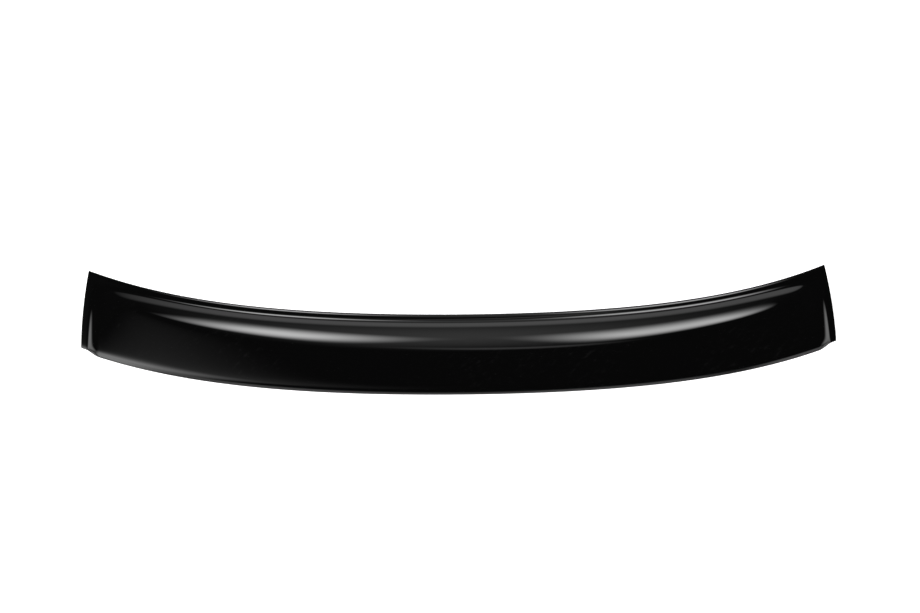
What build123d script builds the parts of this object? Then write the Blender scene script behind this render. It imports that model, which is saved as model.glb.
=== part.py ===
"""Rear-window visor spoiler: one sheet of glossy black plastic, formed over a mould and trimmed.

The part lies as it rests on a level surface: on the trimmed lower edge of its trailing lip, with
the front edge up.  +X runs across the car, +Y towards the front edge, which meets the roof, and +Z
up.  The origin is under the middle of the part.
"""
from build123d import *
import math
import os

# plan, as seen from above
HALF_WIDTH = 590.0              # centre line to a rear corner
END_TAPER = 4.0                 # the front corners lie this much nearer to the centre line
DEPTH = 143.5                   # front edge to trailing edge on the centre line
FRONT_BOW = 52.6                # how far the front corners lead the middle, even part of the bow
FRONT_SWEEP = 52.4              # the part of that bow that is gathered near the ends
REAR_BOW = 61.4                 # the same two for the trailing edge
REAR_SWEEP = 48.2
END_BULGE = 2.6                 # outward belly of the two end edges
SWEEP_POWER = 4                 # how strongly the sweep is gathered near the ends
BULGE_POWER = 8                 # how quickly the belly of an end dies out inwards

# the sheet and the bonding face, which lies on the glass
SHEET = 3.0                     # thickness of the plastic
FRONT_RISE = 50.0               # front corners above the lower edge of the trailing lip
FRONT_DIP = 9.0                 # the middle of the front edge hangs this much lower
FRONT_FLANGE = 13.5             # bonding flange along the front edge
FLANGE_FLARE = 8.0              # it widens by this much at the tips of the scoop
FLARE_POWER = 14                # how strongly that is gathered near the tips
END_FLANGE = 10.5               # bonding flange along each end
NOSE_DROP = 1.6                 # the front edge rolls down by this much
NOSE_WIDTH = 7.0                # over this width

# the raised body
SCOOP_SLOPE = 0.45              # rise of the scooped front face where it leaves the flange
SCOOP_RADIUS = 200.0            # bend of that face
BODY_LIFT = 17.5                # height of the top face over the bonding face, at the scoop
SCOOP_INSET = 30.0              # tip of the scoop from the end of the part
SCOOP_POWER = 13                # how bluntly the scoop closes at its tips
TIP_SOFTNESS = 0.06             # rounding of that closing, as a share of the lift
TOP_CAMBER = 1.5                # belly of the top face from front to back
WALL_SLOPE = 1.15               # rise of the two end walls
LIP_HEIGHT = 7.0                # top face above the lower edge of the trailing lip
LIP_SLOPE = 2.6                 # fall of the lip
NOTCH_DEPTH = 6.5               # end flanges stop this far short of the trailing edge
NOTCH_START = 8.0               # where the notch begins, from the end of the part
NOTCH_END = 30.0                # where it has run out

# size of the soft blend between two faces
RIDGE_BLEND = 1.6
WALL_BLEND = 5.0
FOOT_BLEND = 1.9
LIP_BLEND = 8.0

# spacing of the points that the skins are laid through
NOSE_STEP = 1.25
CREASE_REACH = 6.0
CREASE_STEP = 1.0
FACE_STEP = 2.4
LIP_REACH = 14.0
LIP_STEP = 0.9
END_STEP = 1.5                  # between the sections at an end
STEP_GROWTH = 0.03              # and how much they draw apart for each millimetre inwards

# what follows from the sizes above
SCOOP_TIP = 1 - SCOOP_INSET / HALF_WIDTH
END_DEPTH = DEPTH + FRONT_BOW + FRONT_SWEEP - REAR_BOW - REAR_SWEEP - NOTCH_DEPTH
RAKE_ANGLE = math.asin((FRONT_RISE - SHEET) / math.hypot(END_DEPTH, FRONT_RISE - SHEET))
RAKE = (FRONT_RISE - SHEET * math.cos(RAKE_ANGLE)) / END_DEPTH
LIP_START = LIP_BLEND**2 / (4 * LIP_HEIGHT)
FRONT_REACH = FRONT_BOW + FRONT_SWEEP
MIDDLE = (FRONT_REACH - DEPTH) / 2


def soft_min(a, b, blend):
    """The lower of two faces, with a rounded edge where they meet."""
    return (a + b - math.hypot(a - b, blend)) / 2


def soft_max(a, b, blend):
    """The higher of two faces, with a rounded inner corner where they meet."""
    return (a + b + math.hypot(a - b, blend)) / 2


def ease(x, start, end):
    """0 before start, 1 after end, smooth in between."""
    s = min(max((x - start) / (end - start), 0), 1)
    return s * s * (3 - 2 * s)


def from_end(u):
    """Distance in from the nearer end edge; u runs from -1 to 1 across the part."""
    return (1 - abs(u)) * HALF_WIDTH


def front_line(u):
    """Front edge in plan."""
    return FRONT_BOW * u**2 + FRONT_SWEEP * abs(u) ** SWEEP_POWER


def trailing_line(u):
    """Trailing edge in plan, with a notch at each end flange."""
    notch = NOTCH_DEPTH * (1 - ease(from_end(u), NOTCH_START, NOTCH_END))
    return -DEPTH + REAR_BOW * u**2 + REAR_SWEEP * abs(u) ** SWEEP_POWER + notch


def flange(u):
    """Width of the front flange."""
    return FRONT_FLANGE + FLANGE_FLARE * (abs(u) / SCOOP_TIP) ** FLARE_POWER


def height(u, back):
    """Height of the outer skin at a distance back from the front edge."""
    depth = front_line(u) - trailing_line(u)
    edge = FRONT_RISE - FRONT_DIP * (1 - u**2)
    bonding = edge - RAKE * back
    run = back - flange(u)
    share = run / (depth - flange(u))
    lift = BODY_LIFT * soft_max(0, 1 - (abs(u) / SCOOP_TIP) ** SCOOP_POWER, TIP_SOFTNESS)
    rear_lift = LIP_HEIGHT - (edge - RAKE * depth)
    scoop = SCOOP_SLOPE * run - run**2 / (2 * SCOOP_RADIUS)
    top = lift + (rear_lift - lift) * share + TOP_CAMBER * 4 * share * (1 - share)
    wall = WALL_SLOPE * (from_end(u) - END_FLANGE)
    body = soft_min(soft_min(scoop, top, RIDGE_BLEND), wall, WALL_BLEND)
    skin = bonding + soft_max(0, body, FOOT_BLEND)
    lip = LIP_START + LIP_SLOPE * (depth - back)
    nose = NOSE_DROP * max(1 - back / NOSE_WIDTH, 0) ** 2
    return soft_min(skin, lip, LIP_BLEND) - nose


def outer_point(u, back):
    """Point of the outer skin."""
    depth = front_line(u) - trailing_line(u)
    share = back / depth
    belly = math.copysign(abs(u) ** BULGE_POWER, u) * END_BULGE * 4 * share * (1 - share)
    x = u * (HALF_WIDTH - END_TAPER * (1 - share)) + belly
    return Vector(x, front_line(u) - back - MIDDLE, height(u, back))


def inner_point(u, back):
    """Point of the inner skin, one sheet thickness below the outer one."""
    du = 0.01 / HALF_WIDTH
    db = 0.01
    across = outer_point(u + du, back) - outer_point(u - du, back)
    along = outer_point(u, back - db) - outer_point(u, back + db)
    return outer_point(u, back) - across.cross(along).normalized() * SHEET


def level_back(point, u):
    """Distance back at which a skin comes down to the level of the trimmed lip."""
    near = front_line(u) - trailing_line(u) - LIP_REACH
    far = near + 2 * LIP_REACH
    for _ in range(60):
        middle = (near + far) / 2
        if point(u, middle).Z > 0:
            near = middle
        else:
            far = middle
    return near


def spread(start, end, count):
    """As many values as asked for from start up to end, which is left out."""
    return [start + (end - start) * i / count for i in range(count)]


def columns():
    """Places across the part, closer together towards the ends."""
    inwards = [0]
    while inwards[-1] < HALF_WIDTH:
        inwards.append(inwards[-1] + END_STEP + STEP_GROWTH * inwards[-1])
    right = [1 - place / inwards[-1] for place in reversed(inwards)]
    return [-u for u in reversed(right[1:])] + right


def rows(point, u):
    """Distances back from the front edge, closer at the nose, the crease and the lip."""
    crease_start = flange(u) - CREASE_REACH
    crease_end = flange(u) + CREASE_REACH
    lip_start = front_line(u) - trailing_line(u) - LIP_REACH
    lip_end = level_back(point, u)
    nose = spread(0, crease_start, round((FRONT_FLANGE - CREASE_REACH) / NOSE_STEP))
    crease = spread(crease_start, crease_end, round(2 * CREASE_REACH / CREASE_STEP))
    face = spread(crease_end, lip_start, round((DEPTH - LIP_REACH - FRONT_FLANGE) / FACE_STEP))
    lip = spread(lip_start, lip_end, round(LIP_REACH / LIP_STEP))
    return nose + crease + face + lip + [lip_end]


def rib(point, u):
    """Points of one skin from the front edge to the trimmed lip."""
    return [point(u, back) for back in rows(point, u)]


def knots(points):
    """Share of the way along a line of points, for each of them."""
    along = [0]
    for a, b in zip(points, points[1:]):
        along.append(along[-1] + (b - a).length)
    return [length / along[-1] for length in along]


# every section across the part uses the same knots, so that the skins run smoothly through them
OUTER_KNOTS = knots(rib(outer_point, 0))
INNER_KNOTS = knots(rib(inner_point, 0))


def section(u):
    """Outer skin, trimmed edge, inner skin and front edge of the sheet at one place across."""
    outer = rib(outer_point, u)
    inner = rib(inner_point, u)
    outer_edge = Edge.make_spline(outer, parameters=OUTER_KNOTS)
    inner_edge = Edge.make_spline(inner, parameters=INNER_KNOTS)
    trim_edge = Edge.make_line(outer[-1], inner[-1])
    front_edge = Edge.make_line(inner[0], outer[0])
    return outer_edge, trim_edge, inner_edge, front_edge


sections = [section(u) for u in columns()]
sleeve = Shell.make_loft([Wire(edges) for edges in sections])
trimmed = sleeve.faces().sort_by(Axis.Z)[0]
ends = [Face.make_surface_from_curves(edges[0], edges[2]) for edges in (sections[0], sections[-1])]
faces = [face for face in sleeve.faces() if not face.is_same(trimmed)]
faces += ends + [Face(trimmed.outer_wire())]
spoiler_shell = Solid(Shell(faces))

os.makedirs("parts", exist_ok=True)
export_step(spoiler_shell, "parts/spoiler_shell.step")
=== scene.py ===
import math
from typing import NamedTuple

import bpy
import numpy as np
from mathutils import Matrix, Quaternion, Vector


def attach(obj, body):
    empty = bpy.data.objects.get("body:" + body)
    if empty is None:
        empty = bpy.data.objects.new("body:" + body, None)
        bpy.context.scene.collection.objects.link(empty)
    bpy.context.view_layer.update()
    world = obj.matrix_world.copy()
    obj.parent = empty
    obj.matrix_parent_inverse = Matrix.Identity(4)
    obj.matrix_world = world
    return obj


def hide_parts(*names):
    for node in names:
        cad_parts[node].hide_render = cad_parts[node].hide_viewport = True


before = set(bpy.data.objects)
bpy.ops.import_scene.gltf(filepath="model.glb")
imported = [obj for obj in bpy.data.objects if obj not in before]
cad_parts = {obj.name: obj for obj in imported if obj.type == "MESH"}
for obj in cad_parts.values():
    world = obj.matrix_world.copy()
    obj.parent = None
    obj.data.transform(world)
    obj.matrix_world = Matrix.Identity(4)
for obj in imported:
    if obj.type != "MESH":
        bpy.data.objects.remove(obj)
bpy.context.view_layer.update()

bl_info = {
    "name": "Rear Window Visor Spoiler",
    "version": (1, 0, 0),
    "blender": (4, 5, 0),
    "location": "View3D > Sidebar > Visor",
    "description": "Builds a formed black visor spoiler for a rear window, and a studio to show it in",
    "category": "Object",
}

MM = 0.001

# Powers that say how far towards the ends a form is gathered
SWEEP_POWER = 4
BULGE_POWER = 8
SCOOP_POWER = 13
FLARE_POWER = 14

# Spacing of the mesh across the part: close at the ends, wider along the taper, then even
END_REACH = 33 * MM
END_STEP = 1.2 * MM
TAPER_REACH = 150 * MM
TAPER_STEP = 3.2 * MM
SPAN_COLUMNS = 66

# Rows of the mesh from the front edge to the trimmed lip
CREASE_REACH = 6 * MM
LIP_REACH = 14 * MM
NOSE_ROWS = 12
CREASE_ROWS = 20
FACE_ROWS = 66
LIP_ROWS = 24

NORMAL_STEP = 0.01 * MM
TRIM_HALVINGS = 48

# Material slots of the sheet
FACE_SLOT = 0
BACK_SLOT = 1
EDGE_SLOT = 2

WHITE = (1.0, 1.0, 1.0, 1.0)


def length_prop(name, description, default):
    """A size in metres that the sidebar shows with its unit."""
    return bpy.props.FloatProperty(
        name=name, description=description, default=default, min=0.0, precision=4, unit="LENGTH"
    )


def number_prop(name, description, default):
    """A plain number, such as a slope or a strength."""
    return bpy.props.FloatProperty(name=name, description=description, default=default, precision=3)


def colour_prop(name, description, default):
    """A colour without alpha."""
    return bpy.props.FloatVectorProperty(
        name=name, description=description, default=default, size=3, min=0.0, max=1.0, subtype="COLOR"
    )


def place_prop(name, description, default):
    """A place in the scene, in metres."""
    return bpy.props.FloatVectorProperty(
        name=name, description=description, default=default, size=3, subtype="TRANSLATION"
    )


class VisorPlan(bpy.types.PropertyGroup):
    """Outline of the visor as seen from above."""

    half_width: length_prop("Half width", "Centre line to a rear corner", 0.590)
    end_taper: length_prop("End taper", "Front corners nearer to the centre line by this much", 0.004)
    depth: length_prop("Depth", "Front edge to trailing edge on the centre line", 0.1435)
    front_bow: length_prop("Front bow", "Even part of the front edge's bow", 0.0526)
    front_sweep: length_prop("Front sweep", "Part of that bow gathered near the ends", 0.0524)
    rear_bow: length_prop("Rear bow", "Even part of the trailing edge's bow", 0.0614)
    rear_sweep: length_prop("Rear sweep", "Part of that bow gathered near the ends", 0.0482)
    end_bulge: length_prop("End bulge", "Outward belly of the end edges", 0.0026)
    notch_depth: length_prop("Notch depth", "End flanges stop this far short of the trailing edge", 0.0065)
    notch_start: length_prop("Notch start", "Where the notch begins, from the end", 0.008)
    notch_end: length_prop("Notch end", "Where the notch has run out, from the end", 0.030)


class VisorSection(bpy.types.PropertyGroup):
    """Cross-section of the formed sheet."""

    sheet: length_prop("Sheet", "Thickness of the plastic", 0.003)
    front_rise: length_prop("Front rise", "Front corners above the trimmed lip", 0.050)
    front_dip: length_prop("Front dip", "Middle of the front edge hangs lower by this much", 0.009)
    front_flange: length_prop("Front flange", "Bonding flange along the front edge", 0.0135)
    flange_flare: length_prop("Flange flare", "Front flange widens by this much at the scoop's tips", 0.008)
    end_flange: length_prop("End flange", "Bonding flange along each end", 0.0105)
    nose_drop: length_prop("Nose drop", "Front edge rolls down by this much", 0.0016)
    nose_width: length_prop("Nose width", "Width of that roll", 0.007)
    scoop_slope: number_prop("Scoop slope", "Rise of the scoop where it leaves the flange", 0.45)
    scoop_radius: length_prop("Scoop radius", "Bend of the scoop", 0.200)
    scoop_inset: length_prop("Scoop inset", "Tip of the scoop from the end of the part", 0.030)
    tip_softness: number_prop("Tip softness", "Rounding of the scoop's closing", 0.06)
    body_lift: length_prop("Body lift", "Top face over the bonding face, at the scoop", 0.0175)
    top_camber: length_prop("Top camber", "Belly of the top face", 0.0015)
    wall_slope: number_prop("Wall slope", "Rise of the end walls", 1.15)
    lip_height: length_prop("Lip height", "Top face above the trimmed lip", 0.007)
    lip_slope: number_prop("Lip slope", "Fall of the lip", 2.6)
    ridge_blend: length_prop("Ridge blend", "Softness of the scoop's ridge", 0.0016)
    wall_blend: length_prop("Wall blend", "Softness of the end walls' shoulder", 0.005)
    foot_blend: length_prop("Foot blend", "Softness of the crease at the flanges", 0.0019)
    lip_blend: length_prop("Lip blend", "Softness of the lip's shoulder", 0.008)
    edge_round: length_prop("Edge round", "Rounding of the cut edges", 0.0005)


class VisorFinish(bpy.types.PropertyGroup):
    """Colours of the sheet."""

    face_colour: colour_prop("Face", "Polished outer face", (0.0008, 0.0008, 0.00085))
    face_tint: colour_prop("Face tint", "Paler rub marks in the outer face", (0.006, 0.006, 0.0062))
    back_colour: colour_prop("Back", "Inner face, as it left the mould", (0.012, 0.012, 0.0125))
    back_tint: colour_prop("Back tint", "Paler rub marks in the inner face", (0.02, 0.02, 0.021))
    edge_colour: colour_prop("Cut edge", "Trimmed edge of the sheet", (0.014, 0.014, 0.0145))
    edge_tint: colour_prop("Cut edge tint", "Paler rub marks in the trimmed edge", (0.03, 0.03, 0.031))


class VisorStudio(bpy.types.PropertyGroup):
    """Floor, lights and camera."""

    floor_colour: colour_prop("Floor", "Pale floor", (0.9, 0.9, 0.9))
    floor_glow: number_prop("Floor glow", "Light that the floor gives off by itself", 0.72)
    room_level: number_prop("Room level", "Light of the dark room in the gloss", 0.035)
    sky_colour: colour_prop("Surround", "What the camera sees past the floor", (0.93, 0.93, 0.93))
    lens: bpy.props.FloatProperty(
        name="Lens", description="Focal length in millimetres", default=87.0, min=1.0, unit="CAMERA"
    )
    camera_place: place_prop("Camera", "Where the camera stands", (-0.12493, -2.62725, 2.27578))
    camera_target: place_prop("Target", "What the camera looks at", (-0.00343, -0.02265, 0.0903))
    camera_roll: bpy.props.FloatProperty(
        name="Roll", description="Turn of the camera about its own axis", default=0.021, subtype="ANGLE"
    )


def soft_min(a, b, blend):
    """The lower of two faces, with a rounded edge where they meet."""
    return (a + b - np.hypot(a - b, blend)) / 2


def soft_max(a, b, blend):
    """The higher of two faces, with a rounded inner corner where they meet."""
    return (a + b + np.hypot(a - b, blend)) / 2


def ease(x, start, end):
    """0 before start, 1 after end, smooth in between."""
    s = np.clip((x - start) / (end - start), 0, 1)
    return s * s * (3 - 2 * s)


def belly(share):
    """A hump that is 0 at both ends of a run and 1 half way along it."""
    return 4 * share * (1 - share)


class FormedSheet:
    """Outer and inner skin of the visor; u runs from -1 to 1 across, back is measured from the front edge."""

    def __init__(self, plan, section):
        self.plan = plan
        self.section = section
        end_depth = plan.depth + plan.front_bow + plan.front_sweep
        end_depth -= plan.rear_bow + plan.rear_sweep + plan.notch_depth
        rake_angle = math.atan2(section.front_rise - section.sheet, end_depth)
        self.rake = (section.front_rise - section.sheet * math.cos(rake_angle)) / end_depth
        self.scoop_tip = 1 - section.scoop_inset / plan.half_width
        self.lip_start = section.lip_blend**2 / (4 * section.lip_height)
        self.middle = (plan.front_bow + plan.front_sweep - plan.depth) / 2

    def from_end(self, u):
        """Distance in from the nearer end edge."""
        return (1 - np.abs(u)) * self.plan.half_width

    def front_line(self, u):
        """Front edge in plan."""
        return self.plan.front_bow * u**2 + self.plan.front_sweep * u**SWEEP_POWER

    def trailing_line(self, u):
        """Trailing edge in plan, with a notch at each end flange."""
        plan = self.plan
        bow = plan.rear_bow * u**2 + plan.rear_sweep * u**SWEEP_POWER
        notch = plan.notch_depth * (1 - ease(self.from_end(u), plan.notch_start, plan.notch_end))
        return -plan.depth + bow + notch

    def depth(self, u):
        """Front edge to trailing edge."""
        return self.front_line(u) - self.trailing_line(u)

    def flange(self, u):
        """Width of the front flange, which flares towards the scoop's tips."""
        flare = (np.abs(u) / self.scoop_tip) ** FLARE_POWER
        return self.section.front_flange + self.section.flange_flare * flare

    def body(self, u, back, room):
        """Height of the scoop, the top face and the end walls over the bonding face.

        room is the height left between the bonding face and the top face at the trailing edge.
        """
        section = self.section
        run = back - self.flange(u)
        share = run / (self.depth(u) - self.flange(u))
        closing = 1 - (np.abs(u) / self.scoop_tip) ** SCOOP_POWER
        lift = section.body_lift * soft_max(0, closing, section.tip_softness)
        scoop = section.scoop_slope * run - run**2 / (2 * section.scoop_radius)
        top = lift + (room - lift) * share + section.top_camber * belly(share)
        wall = section.wall_slope * (self.from_end(u) - section.end_flange)
        return soft_min(soft_min(scoop, top, section.ridge_blend), wall, section.wall_blend)

    def height(self, u, back):
        """Height of the outer skin."""
        section = self.section
        depth = self.depth(u)
        edge = section.front_rise - section.front_dip * (1 - u**2)
        bonding = edge - self.rake * back
        room = section.lip_height - (edge - self.rake * depth)
        skin = bonding + soft_max(0, self.body(u, back, room), section.foot_blend)
        lip = self.lip_start + section.lip_slope * (depth - back)
        nose = section.nose_drop * np.clip(1 - back / section.nose_width, 0, None) ** 2
        return soft_min(skin, lip, section.lip_blend) - nose

    def outer(self, u, back):
        """Points of the outer skin."""
        plan = self.plan
        share = back / self.depth(u)
        bulge = np.sign(u) * np.abs(u) ** BULGE_POWER * plan.end_bulge * belly(share)
        x = u * (plan.half_width - plan.end_taper * (1 - share)) + bulge
        y = self.front_line(u) - back - self.middle
        return np.stack([x, y, self.height(u, back)], -1)

    def inner(self, u, back):
        """Points of the inner skin, one sheet thickness below the outer one."""
        du = NORMAL_STEP / self.plan.half_width
        across = self.outer(u + du, back) - self.outer(u - du, back)
        along = self.outer(u, back - NORMAL_STEP) - self.outer(u, back + NORMAL_STEP)
        normal = np.cross(across, along)
        normal /= np.linalg.norm(normal, axis=-1, keepdims=True)
        return self.outer(u, back) - normal * self.section.sheet

    def level_back(self, skin, u):
        """Distance back at which a skin comes down to the level of the trimmed lip."""
        near = self.depth(u) - LIP_REACH
        far = near + 2 * LIP_REACH
        for _ in range(TRIM_HALVINGS):
            middle = (near + far) / 2
            above = skin(u, middle)[..., 2] > 0
            near = np.where(above, middle, near)
            far = np.where(above, far, middle)
        return near

    def columns(self):
        """Places across the part, closer together towards the ends."""
        close = np.arange(0, END_REACH, END_STEP)
        taper = np.arange(END_REACH, TAPER_REACH, TAPER_STEP)
        span = np.linspace(TAPER_REACH, self.plan.half_width, SPAN_COLUMNS)
        right = 1 - np.concatenate([close, taper, span]) / self.plan.half_width
        right = right[::-1]
        return np.concatenate([-right[:0:-1], right])

    def net(self, skin):
        """Points of one skin, columns by rows, from the front edge to the trimmed lip."""
        u = self.columns()[:, None]
        stops = (
            np.zeros_like(u),
            self.flange(u) - CREASE_REACH,
            self.flange(u) + CREASE_REACH,
            self.depth(u) - LIP_REACH,
            self.level_back(skin, u),
        )
        counts = (NOSE_ROWS, CREASE_ROWS, FACE_ROWS, LIP_ROWS)
        last = len(counts) - 1
        rows = []
        for i, count in enumerate(counts):
            steps = np.linspace(0, 1, count, endpoint=i == last)[None, :]
            rows.append(stops[i] + (stops[i + 1] - stops[i]) * steps)
        return skin(u, np.concatenate(rows, axis=1))


def sheet_mesh(name, sheet):
    """Closed mesh of the sheet: outer skin, inner skin and the cut edges, each in its own material slot."""
    outer = sheet.net(sheet.outer)
    inner = sheet.net(sheet.inner)
    columns, rows = outer.shape[:2]
    to_inner = columns * rows
    points = np.concatenate([outer.reshape(-1, 3), inner.reshape(-1, 3)])
    number = np.arange(to_inner).reshape(columns, rows)
    a = number[:-1, :-1]
    b = number[:-1, 1:]
    c = number[1:, 1:]
    d = number[1:, :-1]
    ring = np.concatenate([number[:-1, 0], number[-1, :-1], number[:0:-1, -1], number[0, :0:-1]])
    after = np.roll(ring, -1)
    quads = {
        FACE_SLOT: np.stack([a, b, c, d], -1).reshape(-1, 4),
        BACK_SLOT: np.stack([a, d, c, b], -1).reshape(-1, 4) + to_inner,
        EDGE_SLOT: np.stack([ring, after, after + to_inner, ring + to_inner], -1),
    }
    slots = np.concatenate([np.full(len(faces), slot, np.int32) for slot, faces in quads.items()])
    mesh = bpy.data.meshes.new(name)
    mesh.from_pydata(points.tolist(), [], np.concatenate(list(quads.values())).tolist())
    mesh.polygons.foreach_set("material_index", slots)
    mesh.validate()
    mesh.shade_smooth()
    return mesh


def add_node(tree, kind, inputs=None, **settings):
    """New node with its settings, and then the values of its inputs."""
    node = tree.nodes.new(kind)
    for key, value in settings.items():
        setattr(node, key, value)
    for key, value in (inputs or {}).items():
        node.inputs[key].default_value = value
    return node


def empty_material(name):
    """Node material with no nodes yet."""
    material = bpy.data.materials.new(name)
    material.use_nodes = True
    material.node_tree.nodes.clear()
    return material, material.node_tree


def principled_material(name, inputs):
    """Node material whose Principled shader is wired to the output."""
    material, tree = empty_material(name)
    shader = add_node(tree, "ShaderNodeBsdfPrincipled", inputs)
    output = add_node(tree, "ShaderNodeOutputMaterial")
    tree.links.new(shader.outputs["BSDF"], output.inputs["Surface"])
    return material, tree, shader


def new_group(name, inputs, outputs):
    """Shader node group with number sockets; inputs maps each name to its default."""
    group = bpy.data.node_groups.new(name, "ShaderNodeTree")
    for label, default in inputs.items():
        socket = group.interface.new_socket(name=label, in_out="INPUT", socket_type="NodeSocketFloat")
        socket.default_value = default
    for label in outputs:
        group.interface.new_socket(name=label, in_out="OUTPUT", socket_type="NodeSocketFloat")
    return group, add_node(group, "NodeGroupInput"), add_node(group, "NodeGroupOutput")


def sheet_surface_group():
    """Rub marks that come in patches, and a forming ripple, which all faces of the sheet share."""
    defaults = {"Ripple scale": 60.0, "Smooth": 0.03, "Rubbed": 0.08, "Rub scale": 300.0}
    group, entry, leave = new_group("Sheet surface", defaults, ("Marks", "Roughness", "Height"))
    link = group.links.new
    place = add_node(group, "ShaderNodeTexCoord")

    # Broad patches where the sheet was handled
    drift = add_node(group, "ShaderNodeTexNoise", {"Scale": 7.0, "Detail": 3.0})
    patches = add_node(
        group, "ShaderNodeMapRange", {"From Min": 0.45, "From Max": 0.7}, interpolation_type="SMOOTHSTEP"
    )
    link(place.outputs["Object"], drift.inputs["Vector"])
    link(drift.outputs["Fac"], patches.inputs["Value"])

    # Long thin marks that run aslant
    turn = (0.0, 0.0, math.radians(48.0))
    stretch = add_node(
        group, "ShaderNodeMapping", {"Rotation": turn, "Scale": (14.0, 1.0, 1.0)}, vector_type="TEXTURE"
    )
    rub = add_node(group, "ShaderNodeTexNoise", {"Detail": 5.0})
    marks = add_node(
        group, "ShaderNodeMapRange", {"From Min": 0.55, "From Max": 0.78}, interpolation_type="SMOOTHSTEP"
    )
    link(place.outputs["Object"], stretch.inputs["Vector"])
    link(stretch.outputs["Vector"], rub.inputs["Vector"])
    link(entry.outputs["Rub scale"], rub.inputs["Scale"])
    link(rub.outputs["Fac"], marks.inputs["Value"])

    # Marks show only in the patches, and are rougher than the clean sheet
    patchy = add_node(group, "ShaderNodeMath", operation="MULTIPLY")
    rough = add_node(group, "ShaderNodeMapRange")
    link(marks.outputs["Result"], patchy.inputs[0])
    link(patches.outputs["Result"], patchy.inputs[1])
    link(patchy.outputs["Value"], leave.inputs["Marks"])
    link(patchy.outputs["Value"], rough.inputs["Value"])
    link(entry.outputs["Smooth"], rough.inputs["To Min"])
    link(entry.outputs["Rubbed"], rough.inputs["To Max"])
    link(rough.outputs["Result"], leave.inputs["Roughness"])

    # Faint ripple left by the forming
    ripple = add_node(group, "ShaderNodeTexNoise", {"Detail": 1.0})
    link(place.outputs["Object"], ripple.inputs["Vector"])
    link(entry.outputs["Ripple scale"], ripple.inputs["Scale"])
    link(ripple.outputs["Fac"], leave.inputs["Height"])
    return group


class SheetFinish(NamedTuple):
    """Surface of one face of the sheet: two roughnesses, two texture scales and a depth in metres."""

    name: str
    smooth: float
    rubbed: float
    rub_scale: float
    ripple_scale: float
    ripple_depth: float


POLISHED_FACE = SheetFinish("Polished black face", 0.012, 0.05, 260.0, 45.0, 0.004 * MM)
MOULDED_BACK = SheetFinish("Moulded black back", 0.22, 0.42, 120.0, 160.0, 0.02 * MM)
TRIMMED_EDGE = SheetFinish("Trimmed black edge", 0.16, 0.45, 700.0, 900.0, 0.02 * MM)


def sheet_material(finish, group, colour, tint):
    """One face of the black sheet, with the shared surface effect."""
    material, tree, shader = principled_material(finish.name, {"IOR": 1.5})
    values = {
        "Smooth": finish.smooth,
        "Rubbed": finish.rubbed,
        "Rub scale": finish.rub_scale,
        "Ripple scale": finish.ripple_scale,
    }
    surface = add_node(tree, "ShaderNodeGroup", values, node_tree=group)
    shade = add_node(tree, "ShaderNodeMix", data_type="RGBA")
    shade.inputs["A"].default_value = (*colour, 1.0)
    shade.inputs["B"].default_value = (*tint, 1.0)
    bump = add_node(tree, "ShaderNodeBump", {"Strength": 1.0, "Distance": finish.ripple_depth})
    tree.links.new(surface.outputs["Marks"], shade.inputs["Factor"])
    tree.links.new(shade.outputs["Result"], shader.inputs["Base Color"])
    tree.links.new(surface.outputs["Roughness"], shader.inputs["Roughness"])
    tree.links.new(surface.outputs["Height"], bump.inputs["Height"])
    tree.links.new(bump.outputs["Normal"], shader.inputs["Normal"])
    return material


class VISOR_OT_shell(bpy.types.Operator):
    """Build the formed sheet with its flanges, scooped face and trailing lip"""

    bl_idname = "visor.shell"
    bl_label = "Spoiler shell"

    def execute(self, context):
        scene = context.scene
        finish = scene.visor_finish
        section = scene.visor_section
        mesh = sheet_mesh("spoiler_shell_skin", FormedSheet(scene.visor_plan, section))
        group = sheet_surface_group()
        # In the order of the material slots
        mesh.materials.append(sheet_material(POLISHED_FACE, group, finish.face_colour, finish.face_tint))
        mesh.materials.append(sheet_material(MOULDED_BACK, group, finish.back_colour, finish.back_tint))
        mesh.materials.append(sheet_material(TRIMMED_EDGE, group, finish.edge_colour, finish.edge_tint))
        shell = bpy.data.objects.new("spoiler_shell_skin", mesh)
        scene.collection.objects.link(shell)
        rounding = shell.modifiers.new("Cut edge rounding", "BEVEL")
        rounding.width = section.edge_round
        rounding.segments = 2
        rounding.limit_method = "ANGLE"
        rounding.angle_limit = math.radians(40.0)
        rounding.harden_normals = True
        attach(shell, "root")
        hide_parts("spoiler_shell")
        return {"FINISHED"}


def rim_fade_group():
    """Mask of a light panel: 1 in the middle, fading to 0 at the rim over a share of each side."""
    group, entry, leave = new_group("Rim fade", {"Rim X": 0.5, "Rim Y": 0.5}, ("Mask",))
    link = group.links.new
    place = add_node(group, "ShaderNodeTexCoord")
    sides = add_node(group, "ShaderNodeSeparateXYZ")
    both = add_node(group, "ShaderNodeMath", operation="MULTIPLY")
    link(place.outputs["Generated"], sides.inputs["Vector"])
    for i, axis in enumerate("XY"):
        centred = add_node(group, "ShaderNodeMath", {1: 0.5}, operation="SUBTRACT")
        away = add_node(group, "ShaderNodeMath", operation="ABSOLUTE")
        full = add_node(group, "ShaderNodeMath", {0: 0.5}, operation="SUBTRACT")
        fade = add_node(group, "ShaderNodeMapRange", {"From Min": 0.5}, interpolation_type="SMOOTHSTEP")
        link(sides.outputs[axis], centred.inputs[0])
        link(centred.outputs["Value"], away.inputs[0])
        link(entry.outputs["Rim " + axis], full.inputs[1])
        link(away.outputs["Value"], fade.inputs["Value"])
        link(full.outputs["Value"], fade.inputs["From Max"])
        link(fade.outputs["Result"], both.inputs[i])
    link(both.outputs["Value"], leave.inputs["Mask"])
    return group


class LightPanel(NamedTuple):
    """A glowing panel: metres, the share of each side that fades, and a turn about its aim in degrees."""

    name: str
    centre: tuple
    aim: tuple
    width: float
    height: float
    strength: float
    rims: tuple
    turn: float = 0.0


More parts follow.
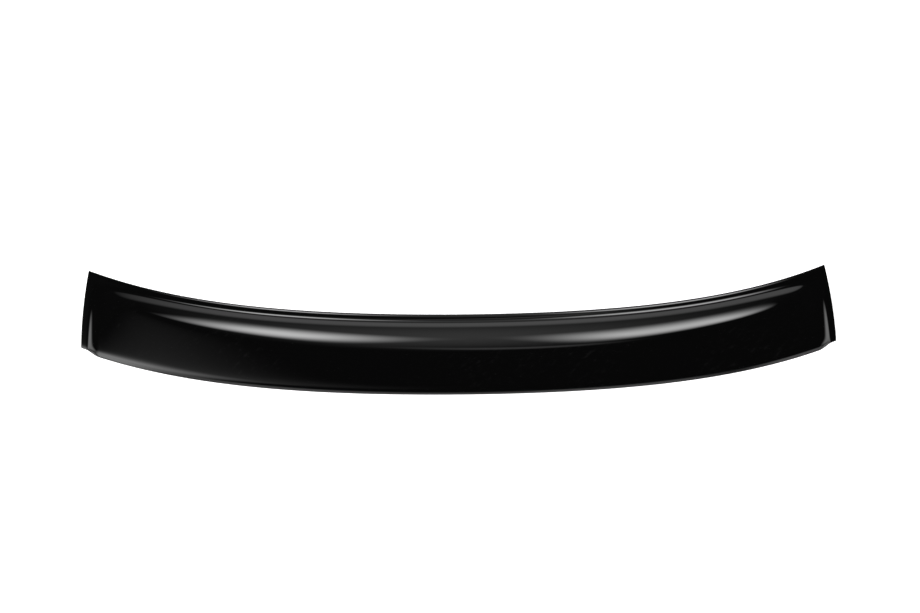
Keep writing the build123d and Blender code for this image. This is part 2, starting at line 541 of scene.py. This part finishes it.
PART_MIDDLE = (0.0, -0.02, 0.02)
LEFT_END = (-0.4, -0.05, 0.0)
LIGHT_PANELS = (
    LightPanel("back_wall", (0.25, 1.95, 0.83), (0.25, 0.0, 0.83), 2.6, 1.78, 0.88, (0.25, 0.10)),
    LightPanel("back_haze", (0.10, 1.70, 2.30), PART_MIDDLE, 2.0, 2.4, 0.58, (0.5, 0.5)),
    LightPanel("left_box", (-0.390, 1.344, 1.990), PART_MIDDLE, 0.74, 0.84, 9.6, (0.5, 0.45), -38.0),
    LightPanel("right_box", (0.684, 1.245, 2.059), PART_MIDDLE, 0.94, 0.92, 8.4, (0.5, 0.36), 42.0),
    LightPanel("top_strip", (0.25, 0.74, 2.28), PART_MIDDLE, 1.0, 0.22, 0.6, (0.45, 0.45)),
    LightPanel("left_wall", (-2.3, 0.7, 0.6), (0.0, 0.5, 0.4), 2.6, 1.6, 2.4, (0.3, 0.45)),
    LightPanel("right_wall", (2.3, 0.7, 0.6), (0.0, 0.5, 0.4), 2.6, 1.6, 2.0, (0.3, 0.45)),
    LightPanel("front_wall", (0.0, -4.5, 1.25), (0.0, 0.0, 0.4), 9.0, 2.6, 1.4, (0.3, 0.5)),
    LightPanel("left_corner", (-3.4, -1.9, 0.7), (-0.5, 0.0, 0.1), 3.2, 1.6, 1.5, (0.3, 0.4)),
    LightPanel("right_corner", (3.4, -1.9, 0.7), (0.5, 0.0, 0.1), 3.2, 1.6, 1.5, (0.3, 0.4)),
    LightPanel("left_glow", (-2.2, -1.35, 1.35), LEFT_END, 2.8, 4.4, 4.2, (0.5, 0.5)),
    LightPanel("left_haze", (-1.22, -0.62, 2.25), LEFT_END, 3.2, 2.2, 0.42, (0.5, 0.5)),
)

FILL_SIZE = 4.0
FILL_HEIGHT = 3.4
FILL_WATTS = 60.0
FLOOR_REACH = 12.0
FLOOR_MOTTLE = 0.985
SENSOR_WIDTH = 36.0
VIEW_REACH = 60.0


def rectangle(name, width, height):
    """Flat rectangle about its own middle, linked to the scene."""
    w = width / 2
    h = height / 2
    mesh = bpy.data.meshes.new(name)
    mesh.from_pydata([(-w, -h, 0), (w, -h, 0), (w, h, 0), (-w, h, 0)], [], [(0, 1, 2, 3)])
    sheet = bpy.data.objects.new(name, mesh)
    bpy.context.scene.collection.objects.link(sheet)
    return sheet


def panel_material(panel, group):
    """Glow on the front of a panel; its back is clear."""
    material, tree = empty_material(panel.name)
    link = tree.links.new
    rims = {"Rim X": panel.rims[0], "Rim Y": panel.rims[1]}
    fade = add_node(tree, "ShaderNodeGroup", rims, node_tree=group)
    glow = add_node(tree, "ShaderNodeEmission", {"Strength": panel.strength})
    clear = add_node(tree, "ShaderNodeBsdfTransparent")
    front = add_node(tree, "ShaderNodeAddShader")
    side = add_node(tree, "ShaderNodeNewGeometry")
    choose = add_node(tree, "ShaderNodeMixShader")
    output = add_node(tree, "ShaderNodeOutputMaterial")
    link(fade.outputs["Mask"], glow.inputs["Color"])
    link(glow.outputs["Emission"], front.inputs[0])
    link(clear.outputs["BSDF"], front.inputs[1])
    link(side.outputs["Backfacing"], choose.inputs["Fac"])
    link(front.outputs["Shader"], choose.inputs[1])
    link(clear.outputs["BSDF"], choose.inputs[2])
    link(choose.outputs["Shader"], output.inputs["Surface"])
    return material


def light_panel(panel, group):
    """Glowing panel that faces its aim and fades towards its rim; the camera doesn't see it."""
    card = rectangle(panel.name, panel.width, panel.height)
    facing = (Vector(panel.aim) - Vector(panel.centre)).to_track_quat("Z", "Y")
    card.rotation_mode = "QUATERNION"
    card.rotation_quaternion = facing @ Quaternion((0, 0, 1), math.radians(panel.turn))
    card.location = panel.centre
    card.visible_camera = False
    card.visible_shadow = False
    card.data.materials.append(panel_material(panel, group))


class VISOR_OT_stage(bpy.types.Operator):
    """Set up the pale floor, the soft light panels and the camera"""

    bl_idname = "visor.stage"
    bl_label = "Studio stage"

    def execute(self, context):
        studio = context.scene.visor_studio
        self.floor(studio)
        self.surround(context, studio)
        self.lights(context)
        self.camera(context, studio)
        context.scene.view_settings.view_transform = "Standard"
        return {"FINISHED"}

    def floor(self, studio):
        """Wide pale floor with a faint mottle and a light of its own."""
        floor = rectangle("studio_floor", 2 * FLOOR_REACH, 2 * FLOOR_REACH)
        values = {
            "Roughness": 0.9,
            "Specular IOR Level": 0.1,
            "Emission Color": WHITE,
            "Emission Strength": studio.floor_glow,
        }
        material, tree, shader = principled_material("Pale studio floor", values)
        mottle = add_node(tree, "ShaderNodeTexNoise", {"Scale": 3.0})
        shade = add_node(tree, "ShaderNodeMix", data_type="RGBA")
        shade.inputs["A"].default_value = (*studio.floor_colour, 1.0)
        shade.inputs["B"].default_value = (*[c * FLOOR_MOTTLE for c in studio.floor_colour], 1.0)
        tree.links.new(mottle.outputs["Fac"], shade.inputs["Factor"])
        tree.links.new(shade.outputs["Result"], shader.inputs["Base Color"])
        floor.data.materials.append(material)

    def surround(self, context, studio):
        """Dark room in the gloss, pale surround for the camera."""
        world = bpy.data.worlds.new("Studio surround")
        world.use_nodes = True
        tree = world.node_tree
        tree.nodes.clear()
        dark = add_node(tree, "ShaderNodeBackground", {"Color": WHITE, "Strength": studio.room_level})
        pale = add_node(tree, "ShaderNodeBackground", {"Color": (*studio.sky_colour, 1.0)})
        rays = add_node(tree, "ShaderNodeLightPath")
        choose = add_node(tree, "ShaderNodeMixShader")
        output = add_node(tree, "ShaderNodeOutputWorld")
        tree.links.new(rays.outputs["Is Camera Ray"], choose.inputs["Fac"])
        tree.links.new(dark.outputs["Background"], choose.inputs[1])
        tree.links.new(pale.outputs["Background"], choose.inputs[2])
        tree.links.new(choose.outputs["Shader"], output.inputs["Surface"])
        context.scene.world = world

    def lights(self, context):
        """Panels that the gloss mirrors, and a ceiling light that it doesn't."""
        group = rim_fade_group()
        for panel in LIGHT_PANELS:
            light_panel(panel, group)
        data = bpy.data.lights.new("ceiling_fill", "AREA")
        data.shape = "RECTANGLE"
        data.size = FILL_SIZE
        data.size_y = FILL_SIZE
        data.energy = FILL_WATTS
        fill = bpy.data.objects.new("ceiling_fill", data)
        fill.location = (0.0, 0.0, FILL_HEIGHT)
        fill.visible_glossy = False
        fill.visible_camera = False
        context.scene.collection.objects.link(fill)

    def camera(self, context, studio):
        """Camera at the photograph's viewing angle."""
        data = bpy.data.cameras.new("photo_camera")
        data.lens = studio.lens
        data.sensor_width = SENSOR_WIDTH
        data.sensor_fit = "HORIZONTAL"
        data.clip_end = VIEW_REACH
        camera = bpy.data.objects.new("photo_camera", data)
        place = Vector(studio.camera_place)
        look = (Vector(studio.camera_target) - place).to_track_quat("-Z", "Y")
        camera.rotation_mode = "QUATERNION"
        camera.rotation_quaternion = look @ Quaternion((0, 0, 1), studio.camera_roll)
        camera.location = place
        context.scene.collection.objects.link(camera)
        context.scene.camera = camera


class VISOR_PT_panel(bpy.types.Panel):
    """Lists the visor's pieces and sizes in the sidebar"""

    bl_idname = "VISOR_PT_panel"
    bl_label = "Visor spoiler"
    bl_space_type = "VIEW_3D"
    bl_region_type = "UI"
    bl_category = "Visor"

    def draw(self, context):
        layout = self.layout
        layout.operator(VISOR_OT_shell.bl_idname)
        layout.operator(VISOR_OT_stage.bl_idname)
        for label, owner in GROUPS:
            box = layout.box()
            box.label(text=owner.__doc__.rstrip("."))
            values = getattr(context.scene, label)
            for key in owner.__annotations__:
                box.prop(values, key)


GROUPS = (
    ("visor_plan", VisorPlan),
    ("visor_section", VisorSection),
    ("visor_finish", VisorFinish),
    ("visor_studio", VisorStudio),
)
CLASSES = (VisorPlan, VisorSection, VisorFinish, VisorStudio, VISOR_OT_shell, VISOR_OT_stage, VISOR_PT_panel)


def register():
    for entry in CLASSES:
        bpy.utils.register_class(entry)
    for label, owner in GROUPS:
        setattr(bpy.types.Scene, label, bpy.props.PointerProperty(type=owner))


def unregister():
    for label, _ in GROUPS:
        delattr(bpy.types.Scene, label)
    for entry in reversed(CLASSES):
        bpy.utils.unregister_class(entry)


def main():
    register()
    bpy.ops.visor.shell()
    bpy.ops.visor.stage()


if __name__ == "__main__":
    main()
